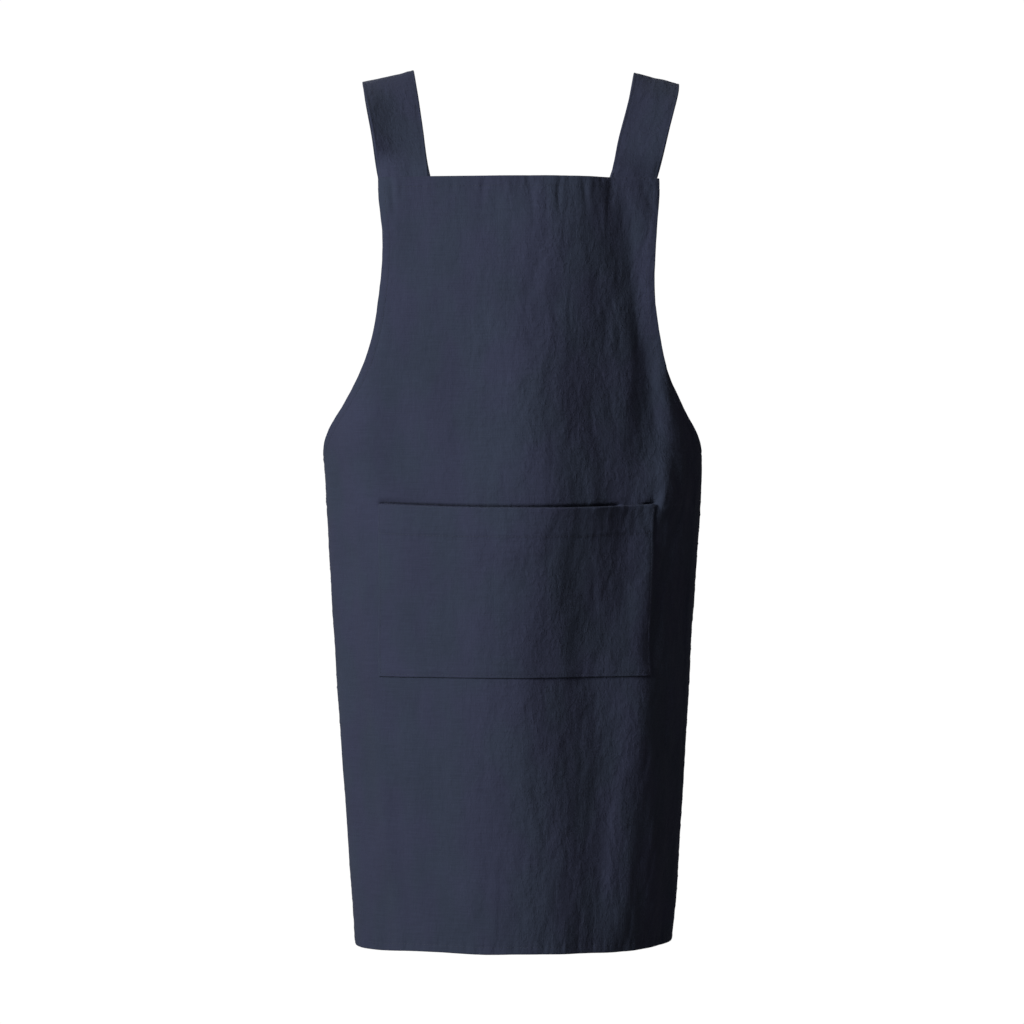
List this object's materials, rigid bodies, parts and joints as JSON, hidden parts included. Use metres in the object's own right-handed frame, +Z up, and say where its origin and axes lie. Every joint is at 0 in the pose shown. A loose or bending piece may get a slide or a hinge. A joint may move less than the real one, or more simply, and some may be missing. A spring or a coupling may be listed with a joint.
{
  "type": "cross back apron",
  "caption": "Pinafore apron in the form it has when worn: bib, wide front pocket, wrap-round skirt open at the back, and straps that cross on the back.",
  "frame": {"origin": "middle of the line on which the two straps rest on the wearer's shoulders", "axes": "+X to the wearer's left, -Y out of the front, +Z up"},
  "size_m": [0.3778, 0.2257, 0.8652],
  "materials": {
    "navy_cloth": "washed navy linen, finely crinkled, matte"
  },
  "bodies": {
    "root": {"front_panel": "navy_cloth", "pocket": "navy_cloth", "back_panel_left": "navy_cloth", "back_panel_right": "navy_cloth", "strap_right": "navy_cloth", "strap_left": "navy_cloth"}
  },
  "joints": []
}
